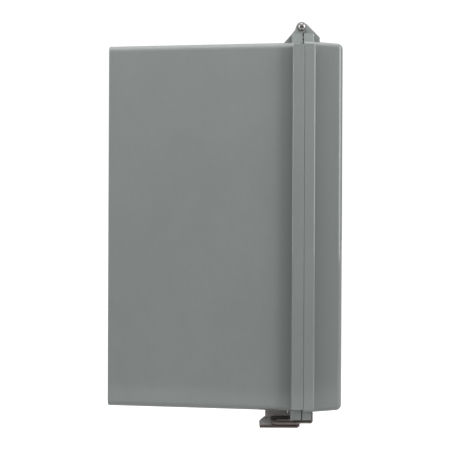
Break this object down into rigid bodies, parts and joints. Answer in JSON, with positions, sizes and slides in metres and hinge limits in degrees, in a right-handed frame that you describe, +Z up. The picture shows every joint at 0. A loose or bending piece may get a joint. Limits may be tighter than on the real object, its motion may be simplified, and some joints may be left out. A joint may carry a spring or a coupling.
{
  "type": "automatic transfer switch",
  "caption": "Wall-mounted moulded enclosure with a top-hinged cover and padlock hasp, holding a two-pole switch that swings between utility and generator contacts.",
  "frame": {"origin": "centre of the enclosure's flat back face, where it meets the wall", "axes": "+Z up, +Y out of the back face into the wall, so the cover faces -Y; +X to the right for a person facing the cover"},
  "size_m": [0.4392, 0.3022, 0.5233],
  "materials": {
    "shell_grey": "semi-gloss moulded fibreglass polyester with a faint mould grain",
    "gasket_rubber": "matt foam rubber",
    "stainless": "brushed stainless sheet and polished pins",
    "zinc_steel": "bright zinc plate",
    "panel_white": "satin powder coat",
    "black_moulding": "matt thermoset moulding",
    "copper": "bare copper bar and braid with light tarnish",
    "lug_aluminium": "extruded, tin plated",
    "bare_steel": "oiled, machined",
    "red_grip": "moulded, semi-gloss",
    "circuit_board": "solder mask",
    "controller_grey": "fine spark-eroded texture",
    "display_black": "clear-coated display window",
    "light_plastic": "moulded, semi-gloss",
    "coil_wrap": "black insulating tape over wire"
  },
  "bodies": {
    "enclosure": {"body_shell": "shell_grey", "hinge_pin_right": "stainless", "hinge_pin_left": "stainless", "body_hasp_bracket": "stainless", "hasp_screw_1": "stainless", "hasp_screw_2": "stainless", "mounting_panel": "panel_white", "panel_screw_top_right": "zinc_steel", "panel_screw_top_left": "zinc_steel", "panel_screw_bottom_right": "zinc_steel", "panel_screw_bottom_left": "zinc_steel", "switch_base": "black_moulding", "side_plate_right": "zinc_steel", "side_plate_left": "zinc_steel", "utility_contact_L1": "copper", "utility_contact_L2": "copper", "generator_contact_L1": "copper", "generator_contact_L2": "copper", "utility_lug_L1": "lug_aluminium", "utility_lug_L2": "lug_aluminium", "generator_lug_L1": "lug_aluminium", "generator_lug_L2": "lug_aluminium", "load_bar_L1": "copper", "load_bar_L2": "copper", "load_lug_L1": "lug_aluminium", "load_lug_L2": "lug_aluminium", "flex_connection_L1": "copper", "flex_connection_L2": "copper", "arc_chute_L1": "bare_steel", "arc_chute_L2": "bare_steel", "utility_coil": "coil_wrap", "generator_coil": "coil_wrap", "solenoid_frame": "zinc_steel", "position_switch": "black_moulding", "controller_tray": "controller_grey", "control_board": "circuit_board", "controller_cover": "controller_grey", "display_screen": "display_black", "terminal_block": "black_moulding", "control_breaker": "black_moulding", "neutral_base": "black_moulding", "neutral_bar": "lug_aluminium", "ground_bar": "lug_aluminium"},
    "cover": {"cover_shell": "shell_grey", "cover_gasket": "gasket_rubber", "cover_hasp_strap": "stainless", "strap_rivet_1": "stainless", "strap_rivet_2": "stainless"},
    "rotor": {"rotor_crossbar": "black_moulding", "rotor_shaft": "bare_steel", "contact_arm_L1": "copper", "contact_arm_L2": "copper", "crank_arm": "bare_steel", "position_cam": "light_plastic", "handle_lever": "bare_steel", "handle_grip": "red_grip"},
    "plunger": {"plunger": "bare_steel"},
    "test_button": {"test_button": "light_plastic"},
    "return_button": {"return_button": "light_plastic"},
    "breaker_toggle": {"breaker_toggle": "light_plastic"}
  },
  "joints": [
    {"name": "cover_hinge", "type": "hinge", "parent": "enclosure", "child": "cover", "pos_m": [0, -0.2488, 0.258], "axis": [-1, 0, 0], "range_deg": [0, 180]},
    {"name": "rotor_swing", "type": "hinge", "parent": "enclosure", "child": "rotor", "pos_m": [0, -0.08, -0.035], "axis": [-1, 0, 0], "range_deg": [0, 40]},
    {"name": "plunger_slide", "type": "slide", "parent": "enclosure", "child": "plunger", "axis": [0, 0, 1], "range_m": [0, 0.0206]},
    {"name": "test_button_push", "type": "slide", "parent": "enclosure", "child": "test_button", "axis": [0, 1, 0], "range_m": [0, 0.0015], "stiffness_N_per_m": 400},
    {"name": "return_button_push", "type": "slide", "parent": "enclosure", "child": "return_button", "axis": [0, 1, 0], "range_m": [0, 0.0015], "stiffness_N_per_m": 400},
    {"name": "breaker_toggle_swing", "type": "hinge", "parent": "enclosure", "child": "breaker_toggle", "pos_m": [0, -0.0621, 0.164], "axis": [1, 0, 0], "range_deg": [0, 60]}
  ],
  "couplings": [
    {"joint": "plunger_slide", "follows": "rotor_swing", "m_per_rad": 0.0294}
  ]
}
